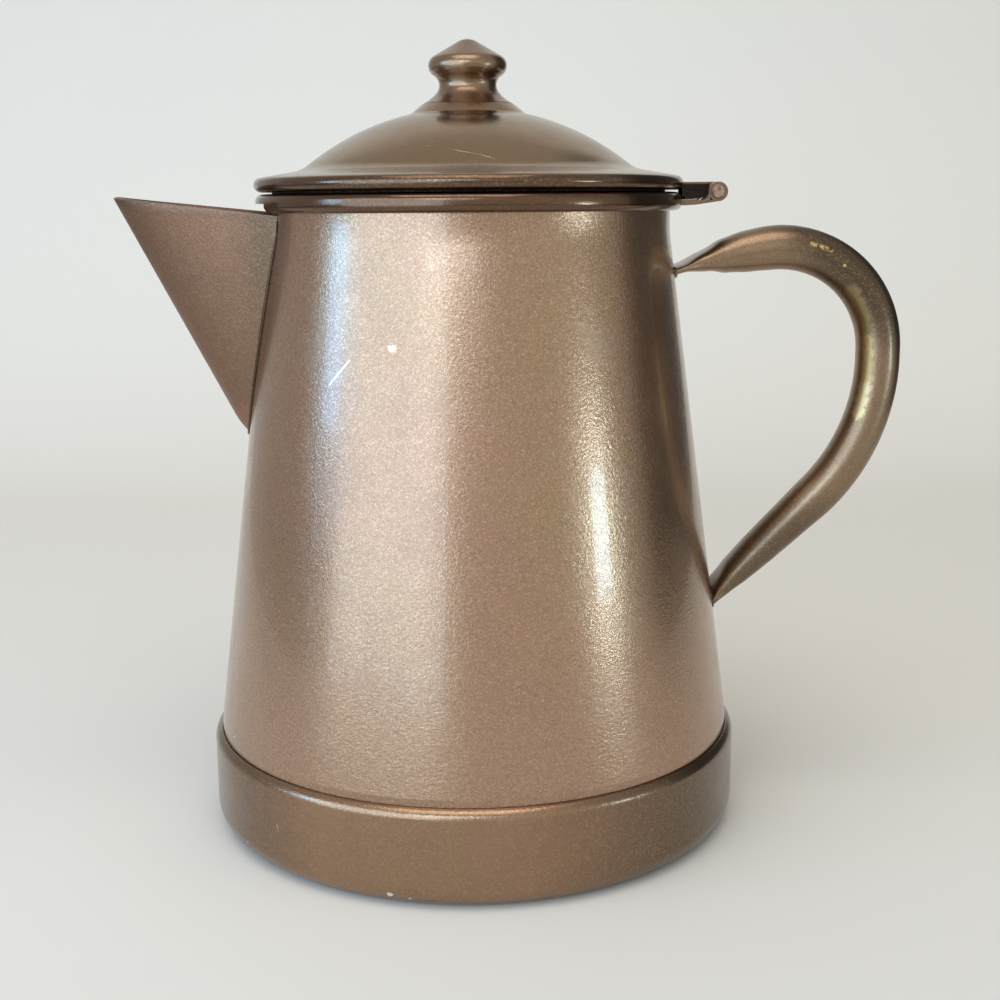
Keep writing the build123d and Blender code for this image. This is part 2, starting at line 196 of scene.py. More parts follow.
def beadRings(path, radius, wobble):
    # a thin uneven tube along a path of points, drawn in at both ends
    sides, endPoints, endShare, wobbleScale = 10, 3, 0.25, 900
    rings = []
    side = None
    for i, p in enumerate(path):
        ahead = (path[min(i + 1, len(path) - 1)] - path[max(i - 1, 0)]).normalized()
        side = ahead.orthogonal().normalized() if side is None else side
        side = (side - ahead * side.dot(ahead)).normalized()
        other = ahead.cross(side)
        ends = min(i, len(path) - 1 - i) / endPoints
        r = radius * min(1.0, endShare + (1 - endShare) * ends)
        r *= 1 + wobble * noise.noise(p * wobbleScale)
        rings.append([p + (side * math.cos(a) + other * math.sin(a)) * r
                      for a in [2 * math.pi * k / sides for k in range(sides)]])
    return rings


# ---- finishes ----

def feed(tree, socket, value):
    # a constant goes on the socket itself, anything else is linked
    if isinstance(value, bpy.types.NodeSocket):
        tree.links.new(value, socket)
    elif socket.type == "RGBA":
        socket.default_value = (*value, 1.0)
    else:
        socket.default_value = value


def newGroup(name, inputs, outputs):
    group = bpy.data.node_groups.new(name, "ShaderNodeTree")
    for label, kind, value in inputs:
        socket = group.interface.new_socket(name=label, in_out="INPUT", socket_type=kind)
        if value is not None:
            socket.default_value = value
    for label, kind in outputs:
        group.interface.new_socket(name=label, in_out="OUTPUT", socket_type=kind)
    return group, group.nodes.new("NodeGroupInput"), group.nodes.new("NodeGroupOutput")


def mathNode(tree, operation, a, b, clamp=False):
    node = tree.nodes.new("ShaderNodeMath")
    node.operation = operation
    node.use_clamp = clamp
    feed(tree, node.inputs[0], a)
    feed(tree, node.inputs[1], b)
    return node.outputs[0]


def vectorNode(tree, operation, a, b):
    node = tree.nodes.new("ShaderNodeVectorMath")
    node.operation = operation
    feed(tree, node.inputs[0], a)
    feed(tree, node.inputs[1], b)
    return node


def rangeNode(tree, value, low, high, toLow=0.0, toHigh=1.0):
    node = tree.nodes.new("ShaderNodeMapRange")
    node.interpolation_type = "SMOOTHSTEP"
    for label, amount in (("Value", value), ("From Min", low), ("From Max", high),
                          ("To Min", toLow), ("To Max", toHigh)):
        feed(tree, node.inputs[label], amount)
    return node.outputs["Result"]


def noiseNode(tree, vector, scale, detail=2.0, roughness=0.5):
    node = tree.nodes.new("ShaderNodeTexNoise")
    for label, amount in (("Vector", vector), ("Scale", scale), ("Detail", detail), ("Roughness", roughness)):
        feed(tree, node.inputs[label], amount)
    return node.outputs["Fac"]


def mixColour(tree, factor, a, b):
    node = tree.nodes.new("ShaderNodeMix")
    node.data_type = "RGBA"
    colourInputs = [s for s in node.inputs if s.type == "RGBA"]
    for socket, value in ((node.inputs[0], factor), (colourInputs[0], a), (colourInputs[1], b)):
        feed(tree, socket, value)
    return [s for s in node.outputs if s.type == "RGBA"][0]


# orange peel: soft lumps of sprayed coat with a finer grain on top
peelGroup, gin, gout = newGroup(
    "orangePeel",
    [("Vector", "NodeSocketVector", None), ("Lumps", "NodeSocketFloat", 900.0),
     ("Grain", "NodeSocketFloat", 3200.0), ("Grain Share", "NodeSocketFloat", 0.35)],
    [("Height", "NodeSocketFloat")])
lumps = noiseNode(peelGroup, gin.outputs["Vector"], gin.outputs["Lumps"], detail=1.5, roughness=0.45)
grain = noiseNode(peelGroup, gin.outputs["Vector"], gin.outputs["Grain"], detail=1.0, roughness=0.5)
grainPart = mathNode(peelGroup, "MULTIPLY", grain, gin.outputs["Grain Share"])
peelGroup.links.new(mathNode(peelGroup, "ADD", lumps, grainPart), gout.inputs["Height"])

# metal flakes in the coat, each its own brightness
flakeGroup, gin, gout = newGroup(
    "metalFlakes",
    [("Vector", "NodeSocketVector", None), ("Scale", "NodeSocketFloat", 2600.0),
     ("Amount", "NodeSocketFloat", 0.5)],
    [("Bright", "NodeSocketFloat"), ("Dark", "NodeSocketFloat")])
cells = flakeGroup.nodes.new("ShaderNodeTexVoronoi")
flakeGroup.links.new(gin.outputs["Vector"], cells.inputs["Vector"])
flakeGroup.links.new(gin.outputs["Scale"], cells.inputs["Scale"])
apart = flakeGroup.nodes.new("ShaderNodeSeparateColor")
flakeGroup.links.new(cells.outputs["Color"], apart.inputs["Color"])
bright = rangeNode(flakeGroup, apart.outputs["Red"], low=0.62, high=1.0)
dark = rangeNode(flakeGroup, apart.outputs["Green"], low=0.6, high=1.0)
flakeGroup.links.new(mathNode(flakeGroup, "MULTIPLY", bright, gin.outputs["Amount"]), gout.inputs["Bright"])
flakeGroup.links.new(mathNode(flakeGroup, "MULTIPLY", dark, gin.outputs["Amount"]), gout.inputs["Dark"])

# slow changes of tone, as old handled metal has
patinaGroup, gin, gout = newGroup(
    "patina",
    [("Vector", "NodeSocketVector", None), ("Clouds", "NodeSocketFloat", 22.0),
     ("Smears", "NodeSocketFloat", 90.0)],
    [("Cloud", "NodeSocketFloat"), ("Smear", "NodeSocketFloat")])
clouds = noiseNode(patinaGroup, gin.outputs["Vector"], gin.outputs["Clouds"], detail=4.0, roughness=0.55)
smears = noiseNode(patinaGroup, gin.outputs["Vector"], gin.outputs["Smears"], detail=3.0, roughness=0.6)
patinaGroup.links.new(rangeNode(patinaGroup, clouds, low=0.34, high=0.68), gout.inputs["Cloud"])
patinaGroup.links.new(rangeNode(patinaGroup, smears, low=0.38, high=0.7), gout.inputs["Smear"])

# a rubbed or chipped place: a ragged patch round a point
rubGroup, gin, gout = newGroup(
    "rubbedPlace",
    [("Vector", "NodeSocketVector", None), ("Centre", "NodeSocketVector", None),
     ("Radius", "NodeSocketFloat", 0.003), ("Ragged", "NodeSocketFloat", 0.002),
     ("Grain", "NodeSocketFloat", 900.0)],
    [("Mask", "NodeSocketFloat")])
away = vectorNode(rubGroup, "DISTANCE", gin.outputs["Vector"], gin.outputs["Centre"]).outputs["Value"]
rough = noiseNode(rubGroup, gin.outputs["Vector"], gin.outputs["Grain"], detail=3.0, roughness=0.65)
rough = mathNode(rubGroup, "SUBTRACT", rough, 0.5)
rough = mathNode(rubGroup, "MULTIPLY", rough, gin.outputs["Ragged"])
away = mathNode(rubGroup, "ADD", away, mathNode(rubGroup, "MULTIPLY", rough, 3.0))
inner = mathNode(rubGroup, "MULTIPLY", gin.outputs["Radius"], 0.6)
rubGroup.links.new(rangeNode(rubGroup, away, low=gin.outputs["Radius"], high=inner), gout.inputs["Mask"])

# a scratch: a thin broken line between two points
scratchGroup, gin, gout = newGroup(
    "scratchMark",
    [("Vector", "NodeSocketVector", None), ("From", "NodeSocketVector", None),
     ("To", "NodeSocketVector", None), ("Width", "NodeSocketFloat", 0.0003),
     ("Breaks", "NodeSocketFloat", 700.0), ("Broken", "NodeSocketFloat", 1.0)],
    [("Mask", "NodeSocketFloat")])
run = vectorNode(scratchGroup, "SUBTRACT", gin.outputs["To"], gin.outputs["From"]).outputs["Vector"]
here = vectorNode(scratchGroup, "SUBTRACT", gin.outputs["Vector"], gin.outputs["From"]).outputs["Vector"]
along = mathNode(scratchGroup, "DIVIDE",
                 vectorNode(scratchGroup, "DOT_PRODUCT", here, run).outputs["Value"],
                 vectorNode(scratchGroup, "DOT_PRODUCT", run, run).outputs["Value"], clamp=True)
foot = scratchGroup.nodes.new("ShaderNodeVectorMath")
foot.operation = "SCALE"
scratchGroup.links.new(run, foot.inputs[0])
scratchGroup.links.new(along, foot.inputs["Scale"])
off = vectorNode(scratchGroup, "DISTANCE", here, foot.outputs["Vector"]).outputs["Value"]
broken = noiseNode(scratchGroup, gin.outputs["Vector"], gin.outputs["Breaks"], detail=2.0, roughness=0.6)
line = rangeNode(scratchGroup, off, low=gin.outputs["Width"], high=0.0)
missing = mathNode(scratchGroup, "MULTIPLY", gin.outputs["Broken"],
                   rangeNode(scratchGroup, broken, low=0.56, high=0.38))
kept = mathNode(scratchGroup, "SUBTRACT", 1.0, missing)
scratchGroup.links.new(mathNode(scratchGroup, "MULTIPLY", line, kept), gout.inputs["Mask"])

# a painted shade that fades in from a plane, for seams, creases, edges and sides
paintedShadeGroup, gin, gout = newGroup(
    "paintedShadeTone",
    [("Vector", "NodeSocketVector", None), ("Direction", "NodeSocketVector", None),
     ("Offset", "NodeSocketFloat", 0.0), ("Fade", "NodeSocketFloat", 0.004),
     ("Ragged", "NodeSocketFloat", 0.002)],
    [("Mask", "NodeSocketFloat")])
beyond = vectorNode(paintedShadeGroup, "DOT_PRODUCT", gin.outputs["Vector"],
                    gin.outputs["Direction"]).outputs["Value"]
beyond = mathNode(paintedShadeGroup, "SUBTRACT", beyond, gin.outputs["Offset"])
uneven = noiseNode(paintedShadeGroup, gin.outputs["Vector"], scale=260.0, detail=4.0, roughness=0.6)
uneven = mathNode(paintedShadeGroup, "SUBTRACT", uneven, 0.5)
beyond = mathNode(paintedShadeGroup, "ADD", beyond, mathNode(paintedShadeGroup, "MULTIPLY", uneven, gin.outputs["Ragged"]))
paintedShadeGroup.links.new(rangeNode(paintedShadeGroup, beyond, low=gin.outputs["Fade"], high=0.0), gout.inputs["Mask"])


def useGroup(tree, group, **values):
    node = tree.nodes.new("ShaderNodeGroup")
    node.node_tree = group
    for label, value in values.items():
        feed(tree, node.inputs[label.replace("_", " ")], value)
    return node


rubDepth, markRough = 0.3, 0.35  # how far a rub sinks into the peel, how much a scratch dulls


def coatedMetal(name, look, rubs=(), scratches=(), paintedShades=()):
    # one sprayed metallic finish. rubs: (x, y, z, radius, ragged, colour), scratches: (from, to, width,
    # broken, colour), painted shades: (direction, offset, fade, ragged, colour), all lengths in mm
    material = bpy.data.materials.new(name)
    material.use_nodes = True
    tree = material.node_tree
    tree.nodes.clear()
    output = tree.nodes.new("ShaderNodeOutputMaterial")
    shader = tree.nodes.new("ShaderNodeBsdfPrincipled")
    tree.links.new(shader.outputs["BSDF"], output.inputs["Surface"])
    place = tree.nodes.new("ShaderNodeTexCoord").outputs["Object"]
    patina = useGroup(tree, patinaGroup, Vector=place, Clouds=look["clouds"], Smears=look["smears"])
    flakes = useGroup(tree, flakeGroup, Vector=place, Scale=look["flakeScale"], Amount=look["flakes"])
    peel = useGroup(tree, peelGroup, Vector=place, Lumps=look["lumps"], Grain=look["grain"],
                    Grain_Share=look["grainShare"])
    colour = mixColour(tree, patina.outputs["Cloud"], look["base"], look["warm"])
    smear = mathNode(tree, "MULTIPLY", patina.outputs["Smear"], look["smearAmount"])
    colour = mixColour(tree, smear, colour, look["dull"])
    # each of these darkens the colour beyond a plane: painted shade
    for direction, offset, fade, ragged, shadeColour in paintedShades:
        tone = useGroup(tree, paintedShadeGroup, Vector=place, Direction=direction, Offset=offset * mm,
                        Fade=fade * mm, Ragged=ragged * mm)
        colour = mixColour(tree, tone.outputs["Mask"], colour, shadeColour)
    colour = mixColour(tree, flakes.outputs["Bright"], colour, look["flakeLight"])
    colour = mixColour(tree, flakes.outputs["Dark"], colour, look["flakeDark"])
    roughness = rangeNode(tree, patina.outputs["Smear"], low=0.0, high=1.0,
                          toLow=look["rough"], toHigh=look["rough"] + look["roughMore"])
    height = peel.outputs["Height"]
    for x, y, z, radius, ragged, rubColour in rubs:
        rub = useGroup(tree, rubGroup, Vector=place, Centre=(x * mm, y * mm, z * mm),
                       Radius=radius * mm, Ragged=ragged * mm)
        colour = mixColour(tree, rub.outputs["Mask"], colour, rubColour)
        height = mathNode(tree, "SUBTRACT", height, mathNode(tree, "MULTIPLY", rub.outputs["Mask"], rubDepth))
    for start, end, width, broken, markColour in scratches:
        mark = useGroup(tree, scratchGroup, Vector=place, From=tuple(c * mm for c in start),
                        To=tuple(c * mm for c in end), Width=width * mm, Broken=broken)
        colour = mixColour(tree, mark.outputs["Mask"], colour, markColour)
        dulled = mathNode(tree, "MULTIPLY", mark.outputs["Mask"], markRough)
        roughness = mathNode(tree, "ADD", roughness, dulled)
    bump = tree.nodes.new("ShaderNodeBump")
    bump.inputs["Strength"].default_value = look["bump"]
    bump.inputs["Distance"].default_value = look["bumpDepth"] * mm
    tree.links.new(height, bump.inputs["Height"])
    tree.links.new(bump.outputs["Normal"], shader.inputs["Normal"])
    tree.links.new(colour, shader.inputs["Base Color"])
    tree.links.new(roughness, shader.inputs["Roughness"])
    shader.inputs["Metallic"].default_value = look["metallic"]
    shader.inputs["Coat Weight"].default_value = look["coat"]
    shader.inputs["Coat Roughness"].default_value = look["coatRough"]
    return material


copperLook = {
    "base": (0.37, 0.235, 0.145), "warm": (0.395, 0.235, 0.155), "dull": (0.31, 0.2, 0.13),
    "flakeLight": (0.66, 0.5, 0.38), "flakeDark": (0.17, 0.1, 0.06),
    "clouds": 18.0, "smears": 70.0, "smearAmount": 0.3,
    "flakes": 0.4, "flakeScale": 3400.0, "lumps": 1250.0, "grain": 3300.0, "grainShare": 0.7,
    "rough": 0.23, "roughMore": 0.05, "bump": 0.9, "bumpDepth": 0.06,
    "metallic": 0.95, "coat": 0.5, "coatRough": 0.08,
}
# painted shade: the pan's finish is a darker copy of the wall's
panShadedLook = dict(copperLook, base=(0.31, 0.195, 0.115), warm=(0.34, 0.2, 0.125), dull=(0.23, 0.145, 0.09),
               flakes=0.2, coat=0.25)
lidLook = dict(copperLook, base=(0.295, 0.208, 0.12), warm=(0.31, 0.202, 0.12), dull=(0.24, 0.165, 0.1),
               flakes=0.18, lumps=1300.0, bump=0.25, rough=0.2, coat=0.2, metallic=1.0)
# painted shade: a dark copy of the lid's finish for the body's rolled rim
rimShadeLook = dict(lidLook, base=(0.125, 0.074, 0.044), warm=(0.14, 0.078, 0.048), dull=(0.085, 0.052, 0.032),
               rough=0.18, flakes=0.08)
# painted shade: the hoop under the lid is near-black and matte
hoopShadeLook = dict(copperLook, base=(0.05, 0.034, 0.022), warm=(0.06, 0.036, 0.024), dull=(0.03, 0.02, 0.014),
                flakes=0.1, rough=0.6, coat=0.0)
knobLook = dict(lidLook, base=(0.25, 0.17, 0.105), warm=(0.28, 0.177, 0.115),
                flakes=0.12, rough=0.27, coat=0.3, coatRough=0.12)
spoutLook = dict(copperLook, base=(0.232, 0.132, 0.078), warm=(0.258, 0.133, 0.077), dull=(0.165, 0.1, 0.062),
                 flakeLight=(0.42, 0.28, 0.19), flakeDark=(0.1, 0.06, 0.038), lumps=1900.0, grain=5200.0,
                 grainShare=0.6, bump=0.9, flakes=0.5, flakeScale=4800.0, rough=0.4, coat=0.15)
handleLook = dict(copperLook, base=(0.27, 0.183, 0.11), warm=(0.29, 0.19, 0.116), dull=(0.19, 0.128, 0.077),
                  flakeLight=(0.42, 0.32, 0.22), flakeDark=(0.11, 0.07, 0.045), flakes=0.3, rough=0.31,
                  bump=0.6, coat=0.3)
brazeLook = dict(copperLook, base=(0.07, 0.042, 0.026), warm=(0.1, 0.056, 0.034), dull=(0.035, 0.022, 0.014),
                 flakes=0.1, rough=0.22, bump=0.5)
hingeLook = dict(lidLook, base=(0.2, 0.135, 0.088), warm=(0.22, 0.14, 0.09), dull=(0.12, 0.08, 0.052),
                 rough=0.33, bump=0.5)
strapLook = dict(hingeLook, flakes=0.03)
pinLook = dict(copperLook, base=(0.42, 0.27, 0.22), warm=(0.36, 0.22, 0.17), dull=(0.16, 0.09, 0.06),
               smearAmount=0.9, smears=900.0, rough=0.45, coat=0.0, bump=1.0, bumpDepth=0.12)
screwLook = dict(copperLook, base=(0.55, 0.53, 0.5), warm=(0.5, 0.47, 0.43), dull=(0.35, 0.32, 0.29),
                 flakes=0.05, bump=0.2, rough=0.3, coat=0.0, metallic=1.0)

# the second and third colours are brass with painted shade and with a painted highlight
brass, shadedBrass, highlitBrass = (0.4, 0.3, 0.13), (0.24, 0.17, 0.08), (0.52, 0.41, 0.22)
paleBrass, bare, rust = (0.72, 0.5, 0.2), (0.85, 0.85, 0.84), (0.2, 0.08, 0.045)
copperCoat = coatedMetal(
    "copperCoat", copperLook,
    rubs=((-18.8, -54.9, 137.9, 1.3, 1.2, (0.9, 0.62, 0.36)), (-65.3, -30.8, 30.7, 0.45, 0.3, bare),
          (-40.2, -46.5, 119.0, 0.3, 0.3, bare)),
    scratches=(((-34.9, -47.9, 128.3), (-29.7, -50.4, 134.5), 0.42, 0.25, (0.95, 0.97, 1.0)),))
panCoat = coatedMetal(
    "panCoat", panShadedLook,
    rubs=((-21.5, -70.3, 3.5, 0.8, 0.9, bare), (-16.5, -71.5, 3.0, 0.7, 0.9, bare),
          (-60.7, -42.9, 5.7, 0.35, 0.3, bare)),
    scratches=(((-52.0, -49.0, 27.0), (-52.9, -51.7, 25.7), 0.25, 0.5, bare),
               ((-51.3, -54.0, 15.6), (-50.9, -54.4, 13.9), 0.22, 0.5, paleBrass),
               ((-24.0, -69.6, 3.2), (-8.0, -72.9, 2.7), 0.3, 1.0, rust)),
    # painted shade: the pan's left and right sides are coloured darker
    paintedShades=(((1.0, 0.0, 0.0), -66.0, 30.0, 9.0, (0.17, 0.105, 0.062)),
           ((-1.0, 0.0, 0.0), -64.0, 62.0, 6.0, (0.13, 0.085, 0.052))))
lidCoat = coatedMetal(
    "lidCoat", lidLook,
    scratches=(((-10.5, -36.7, 186.0), (-2.6, -40.2, 184.7), 0.16, 0.9, (0.6, 0.48, 0.36)),
               ((-2.6, -40.2, 184.7), (5.2, -42.2, 183.0), 0.2, 0.35, (0.85, 0.74, 0.62)),
               ((5.2, -42.2, 183.0), (6.3, -42.5, 182.6), 0.16, 0.5, (0.6, 0.48, 0.36)),
               ((4.9, -45.7, 180.2), (6.1, -45.6, 180.2), 0.15, 0.5, (0.7, 0.6, 0.5))),
    # painted shade: the lid's rolled edge is coloured dark below its top
    paintedShades=(((0.0, 0.0, 1.0), 178.3, 0.5, 0.2, (0.12, 0.072, 0.044)),))
rimShadeCoat = coatedMetal("rimShadeCoat", rimShadeLook)
hoopShadeCoat = coatedMetal("hoopShadeCoat", hoopShadeLook)
knobCoat = coatedMetal("knobCoat", knobLook)
# the spout's crease leans out, and its lip falls a little towards the wall
creaseLean, lipFall = 0.5155, 0.1036
creaseLine = -96.5 + 174.0 * creaseLean
spoutCoat = coatedMetal(
    "spoutCoat", spoutLook,
    rubs=((-61.5, -9.0, 113.5, 7.0, 7.0, (0.29, 0.15, 0.085)),),
    # painted shade: darker along the crease with a darker line on it, darker along the lip and darker towards
    # the wall
    paintedShades=(((1.0, 0.0, creaseLean), creaseLine, 9.0, 5.0, (0.23, 0.12, 0.078)),
           ((-lipFall, 0.0, -1.0), -164.0, 3.5, 3.0, (0.19, 0.105, 0.068)),
           ((1.0, 0.0, creaseLean), creaseLine + 0.2, 0.9, 0.4, (0.13, 0.075, 0.048)),
           ((-1.0, 0.0, 0.0), 52.0, 12.0, 4.0, (0.16, 0.1, 0.062))))
# the handle's front is worn down to brass in a run of close rubs (x, z, metal); the brass is darkened near
# the top as painted shade and lightened lower down as a painted highlight
wornY, wornRadius, wornRagged = -5.4, 3.0, 0.9
wearAndSheenRun = ((105.0, 147.0, shadedBrass), (106.5, 143.8, shadedBrass), (107.6, 140.5, shadedBrass),
           (108.4, 137.2, shadedBrass), (108.9, 133.9, brass), (109.2, 130.6, brass), (109.2, 127.3, brass),
           (109.0, 124.0, brass), (108.7, 120.7, highlitBrass), (108.2, 117.6, highlitBrass),
           (107.4, 114.6, highlitBrass))
wearAndSheenRubs = [(x, wornY, z, wornRadius, wornRagged, metal) for x, z, metal in wearAndSheenRun]
handleCoat = coatedMetal(
    "handleCoat", handleLook,
    # painted shade: the top of the arch and the lower end are coloured darker
    paintedShades=(((-1.0, 0.0, -1.0), -256.0, 14.0, 6.0, (0.1, 0.064, 0.038)),
           ((0.0, 0.0, 1.0), 80.0, 16.0, 5.0, (0.15, 0.1, 0.062))),
    rubs=wearAndSheenRubs + [(102.4, -6.1, 154.8, 0.35, 0.5, paleBrass)],
    scratches=(((93.2, -5.7, 160.6), (98.6, -5.7, 158.9), 0.9, 1.0, paleBrass),))
brazeCoat = coatedMetal("brazeCoat", brazeLook)
hingeCoat = coatedMetal("hingeCoat", hingeLook)
# painted shade: the strap is coloured near-black below its top plate
strapShadeCoat = coatedMetal("strapShadeCoat", strapLook,
                        paintedShades=(((0.0, 0.0, 1.0), 176.6, 0.4, 0.1, (0.018, 0.011, 0.008)),))
pinMetal = coatedMetal("pinMetal", pinLook)
screwMetal = coatedMetal("screwMetal", screwLook)
print("kettle: finishes made")


# ---- base pan ----

pan = {"radius": 74.5, "wall": 1.2, "heel": 7.0, "bandTop": 24.2, "shoulder": 3.0, "lip": 72.42,
       "lipTurn": 60, "lipBend": 0.4, "flatR": 40}
shoulderX = pan["radius"] - pan["shoulder"]
lipDrop = math.sqrt((pan["shoulder"] - pan["wall"]) ** 2 - (pan["lip"] - shoulderX) ** 2)
panLine = [(0, 0), (pan["flatR"], 0)]
panLine += arcRun(pan["radius"] - pan["heel"], pan["heel"], pan["heel"], -90, 0, 16)
shoulderRun = arcRun(shoulderX, pan["bandTop"], pan["shoulder"], 0, pan["lipTurn"], 12)
lipTop = pan["bandTop"] + math.sqrt(pan["shoulder"] ** 2 - (pan["lip"] - shoulderX) ** 2)
panLine += shoulderRun[:-1]
panLine += softCorner(shoulderRun[-1], (pan["lip"], lipTop), (pan["lip"], lipTop - 1), pan["lipBend"])
insideTurn = math.degrees(math.atan2(lipDrop, pan["lip"] - shoulderX))
panLine += arcRun(shoulderX, pan["bandTop"], pan["shoulder"] - pan["wall"], insideTurn, 0, 6)
panLine += arcRun(pan["radius"] - pan["heel"], pan["heel"], pan["heel"] - pan["wall"], 0, -90, 12)
panLine += [(pan["flatR"], pan["wall"]), (0, pan["wall"])]
addPiece("basePan", turnOutline(panLine, turnSteps, False), panCoat, "kettle", ("base_pan",))
print("kettle: pan turned")


# ---- body: wall, neck and rolled rim, open behind the spout ----

body = {"sheet": 0.8, "foot": 73.2, "footLow": 9.0, "footTop": 22.3, "groove": 72.32, "coneLow": 72.5,
        "coneLowZ": 28.19, "neck": 54.6, "neckZ": 164.3, "rimTop": 174.7, "rollWidth": 3.9,
        "rollHeight": 4.9, "rollEnd": -115, "beadRise": 0.7, "footBend": 0.5, "grooveDrop": 1.3,
        "grooveBend": 0.6, "beadBend": 1.2, "neckBend": 40.0, "cutLow": 60, "rimShare": 1.02, "rimStep": 0.2}
fold = {"reach": 74.5, "tipX": -96.5, "tipZ": 174.0, "lean": creaseLean, "lipSlope": lipFall,
        "sheet": 0.9, "curve": 23.4 ** 2 / 44.9, "pourEdge": 1.2, "notchGap": 0.4, "seatGap": 0.05,
        "tipRound": 2.5, "tipWide": 3.6, "tuck": 0.6, "tuckHigh": 2.3, "edgeBevel": 0.18, "edgeSharp": 50,
        "columns": 56, "columnEase": 1.35, "rows": 30, "rowEase": 1.6, "startWide": 20.0, "runOut": 0.15}
taper = (body["coneLow"] - body["neck"]) / (body["neckZ"] - body["coneLowZ"])


def wallRadius(z):
    return max(body["neck"], body["coneLow"] - taper * (z - body["coneLowZ"]))


def creaseX(z):
    return fold["tipX"] + (fold["tipZ"] - z) * fold["lean"]


def foldCutter(name, inset, low, high):
    # a prism of the folded section, to open the wall behind the spout
    wide = math.sqrt(fold["curve"] * fold["reach"]) - inset
    half = 24
    rings = []
    for z in (low, high):
        ring = []
        for k in range(-half, half + 1):
            y = wide * k / half
            x = creaseX(z) + inset + (fold["reach"] - inset) * (k / half) ** 2
            ring.append(Vector((x, y, z)) * mm)
        rings.append(ring)
    bm = skinRings(rings)
    bmesh.ops.recalc_face_normals(bm, faces=bm.faces)
    mesh = bpy.data.meshes.new(name)
    bm.to_mesh(mesh)
    bm.free()
    cutter = bpy.data.objects.new(name, mesh)
    bpy.context.scene.collection.objects.link(cutter)
    return cutter


neckInside = body["neck"] - body["sheet"]
rollR = body["rollWidth"] / 2
rollX = neckInside + rollR
rollHighZ = body["rimTop"] - rollR
rollLowZ = body["rimTop"] - body["rollHeight"] + rollR
footIn, grooveIn = body["foot"] - body["sheet"], body["groove"] - body["sheet"]
beadZ = body["coneLowZ"] + body["beadRise"]
bodyLine = softLine([
    (footIn, body["footLow"]), (footIn, body["footTop"], body["footBend"]),
    (grooveIn, body["footTop"] + 1, body["footBend"]),
    (grooveIn, body["coneLowZ"] - body["grooveDrop"], body["grooveBend"]),
    (wallRadius(beadZ) - body["sheet"], beadZ, body["beadBend"]),
    (neckInside, body["neckZ"], body["neckBend"]), (neckInside, rollHighZ)])
bodyLine += arcRun(rollX, rollHighZ, rollR, 180, 0, 16)[1:]
bodyLine += arcRun(rollX, rollLowZ, rollR, 0, body["rollEnd"], 12)
bodyWall = addPiece("bodyWall", turnOutline(sheetLine(bodyLine, body["sheet"]), turnSteps, True), copperCoat,
                    "kettle", ("body_shell",))
rollMiddle = (rollHighZ + rollLowZ) / 2
lipAtWall = fold["tipZ"] - fold["lipSlope"] * (-fold["tipX"] - body["neck"])
cutters = [foldCutter("pourCutter", fold["sheet"] + fold["pourEdge"], body["cutLow"], rollMiddle),
           foldCutter("notchCutter", -fold["notchGap"], lipAtWall - fold["notchGap"], rollMiddle)]
for cutter in cutters:
    cut = bodyWall.modifiers.new(cutter.name, "BOOLEAN")
    cut.operation = "DIFFERENCE"
    cut.solver = "EXACT"
    cut.object = cutter
applyModifiers(bodyWall)
for cutter in cutters:
    bpy.data.objects.remove(cutter)
# the cuts leave a few faces without area
mend = {"dist": 0.001, "area": 1e-14}
bm = bmesh.new()
bm.from_mesh(bodyWall.data)
bmesh.ops.dissolve_degenerate(bm, dist=mend["dist"] * mm, edges=bm.edges)
bmesh.ops.triangulate(bm, faces=[face for face in bm.faces if len(face.verts) > 4])
slivers = [face for face in bm.faces if face.calc_area() < mend["area"]]
bmesh.ops.delete(bm, geom=slivers, context="FACES")
bm.to_mesh(bodyWall.data)
bm.free()
bodyWall.data.shade_smooth()
bodyWall.data.set_sharp_from_angle(angle=math.radians(sharpEdge))
# the rolled rim is darker than the wall: painted shade, a dark copy of the lid's finish
rimLow, rimInner = rollLowZ - rollR * body["rimShare"], body["neck"] + body["rimStep"]
bodyWall.data.materials.append(rimShadeCoat)
for face in bodyWall.data.polygons:
    if face.center.z > rimLow * mm and face.center.xy.length > rimInner * mm:
        face.material_index = 1
print("kettle: body turned and opened")


# ---- spout: one folded sheet and its brazed seam ----

def spoutTop(y):
    d = y * y / fold["curve"]
    s = fold["lipSlope"] * d / (1 - fold["lipSlope"] * fold["lean"])
    return fold["tipZ"] - s


def tipLift(y):
    # the fold's lower end is rounded, so it lies higher in the middle
    return fold["tipRound"] * math.exp(-(y / fold["tipWide"]) ** 2)


def spoutFoot(y):
    # where the sheet meets the tapered wall
    low, high = body["cutLow"], spoutTop(y)
    for _ in range(40):
        z = (low + high) / 2
        x = creaseX(z) + y * y / fold["curve"]
        if math.hypot(x, y) > wallRadius(z) + fold["seatGap"] or x > 0:
            high = z
        else:
            low = z
    return (low + high) / 2 + tipLift(y)


def spoutPoint(y, z, foot):
    # the rounded lower end is hammered in until it meets the wall
    tuck = fold["tuck"] * tipLift(y) * math.exp(-((z - foot) / fold["tuckHigh"]) ** 2)
    return Vector((creaseX(z) + y * y / fold["curve"] + tuck, y, z)) * mm


